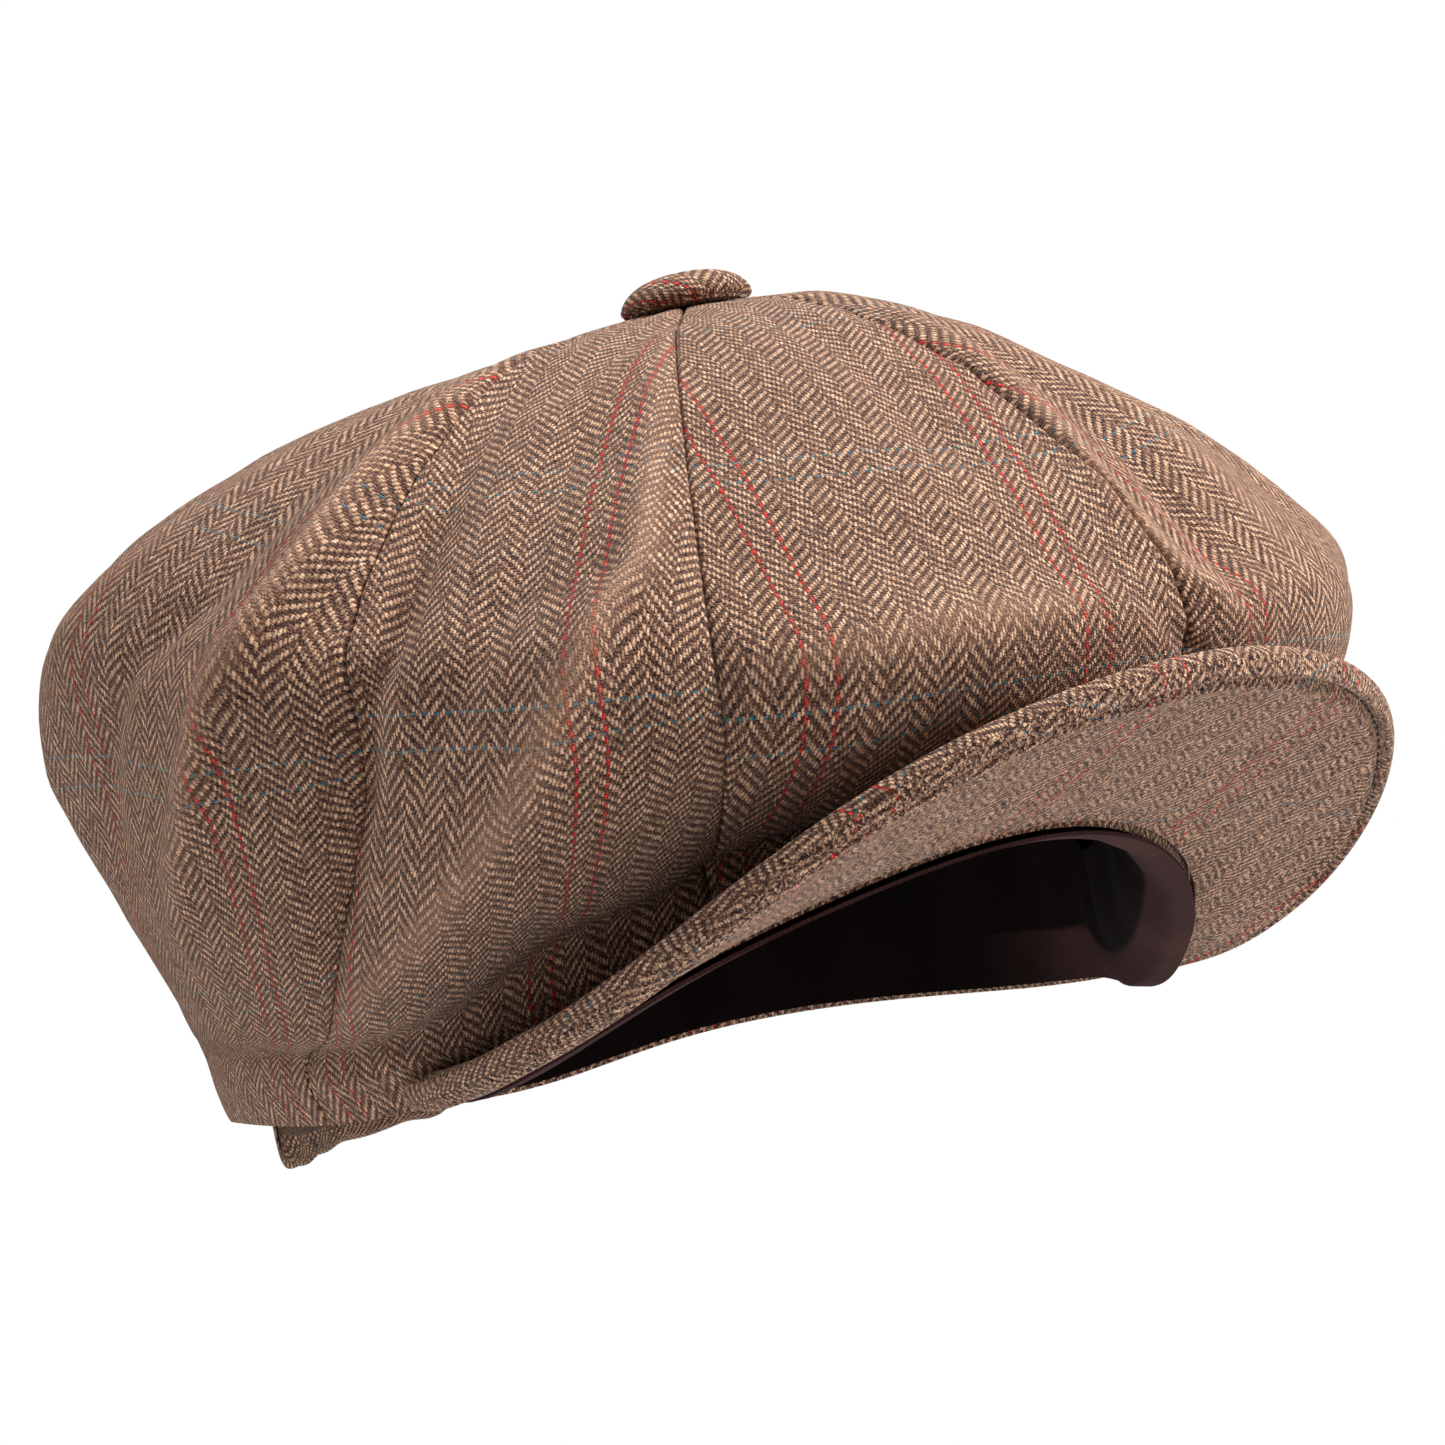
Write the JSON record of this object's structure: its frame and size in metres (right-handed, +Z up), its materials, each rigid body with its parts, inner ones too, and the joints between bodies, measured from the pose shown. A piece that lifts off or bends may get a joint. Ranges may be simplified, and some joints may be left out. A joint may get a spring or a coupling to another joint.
{
  "type": "newsboy cap",
  "caption": "Baker boy cap with a full gored tweed crown, satin lining, stiffened peak, covered button and an elasticated back.",
  "frame": {"origin": "centre of the head opening, level with the lowest edge of the elastic casing at the back", "axes": "+Z up through the crown, -Y towards the peak, +X towards the wearer's left"},
  "size_m": [0.2338, 0.2614, 0.1409],
  "materials": {
    "tweed": "brown and tan herringbone wool with thin red and blue overchecks",
    "lining_satin": "dark brown satin",
    "sweatband_ribbon": "dark brown ribbed ribbon",
    "elastic": "woven covered elastic",
    "peak_board": "stiff board",
    "button_steel": "stamped tinplate",
    "thread": "sewing thread"
  },
  "bodies": {
    "root": {"crown_gore_1": "tweed", "crown_gore_2": "tweed", "crown_gore_3": "tweed", "crown_gore_4": "tweed", "crown_gore_5": "tweed", "crown_gore_6": "tweed", "crown_gore_7": "tweed", "crown_gore_8": "tweed", "lining_gore_1": "lining_satin", "lining_gore_2": "lining_satin", "lining_gore_3": "lining_satin", "lining_gore_4": "lining_satin", "lining_gore_5": "lining_satin", "lining_gore_6": "lining_satin", "lining_gore_7": "lining_satin", "lining_gore_8": "lining_satin", "head_band_left": "tweed", "head_band_right": "tweed", "elastic_casing": "tweed", "peak_top_cover": "tweed", "peak_under_cover": "tweed", "button_cover": "tweed", "back_elastic": "elastic", "sweatband": "sweatband_ribbon", "peak_board": "peak_board", "button_shell": "button_steel", "button_back_plate": "button_steel", "button_thread": "thread"}
  },
  "joints": []
}
